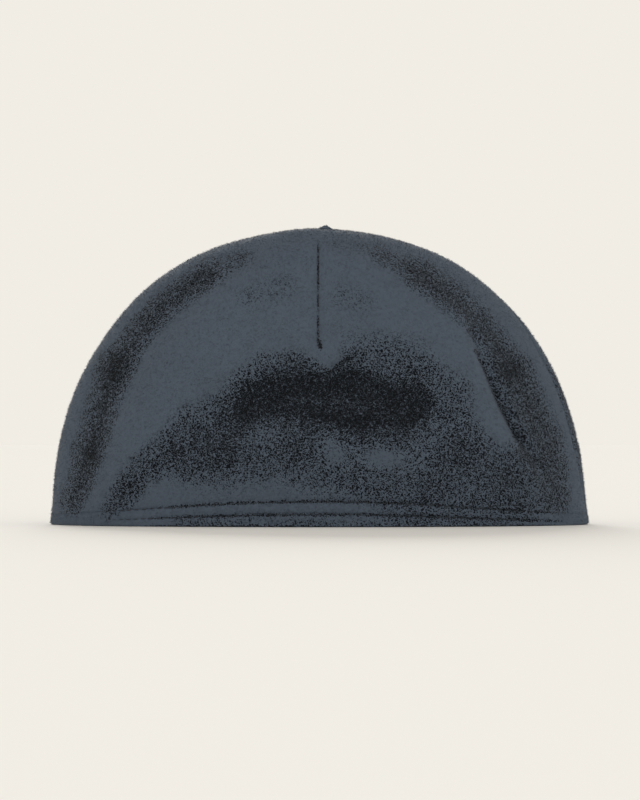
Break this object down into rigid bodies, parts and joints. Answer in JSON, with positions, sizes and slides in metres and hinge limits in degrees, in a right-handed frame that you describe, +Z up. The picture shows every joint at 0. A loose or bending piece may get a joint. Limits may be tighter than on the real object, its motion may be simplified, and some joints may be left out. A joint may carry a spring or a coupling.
{
  "type": "fleece beanie",
  "caption": "Low rounded fleece cap of two darted panels with a turned-up, twin-stitched hem, standing open on its rim; it warms the head.",
  "frame": {"origin": "on the surface that the rim stands on, under the middle of the hat's bounding box", "axes": "+X across the hat towards the wearer's left ear, -Y the front, +Z up towards the crown"},
  "size_m": [0.2303, 0.1312, 0.1275],
  "materials": {
    "fleece": "matte slate-blue pile fleece",
    "hem_fleece": "matte slate-blue pile fleece, flattened by the stitching"
  },
  "bodies": {
    "root": {"front_panel": "fleece", "back_panel": "fleece", "front_hem": "hem_fleece", "back_hem": "hem_fleece"}
  },
  "joints": []
}
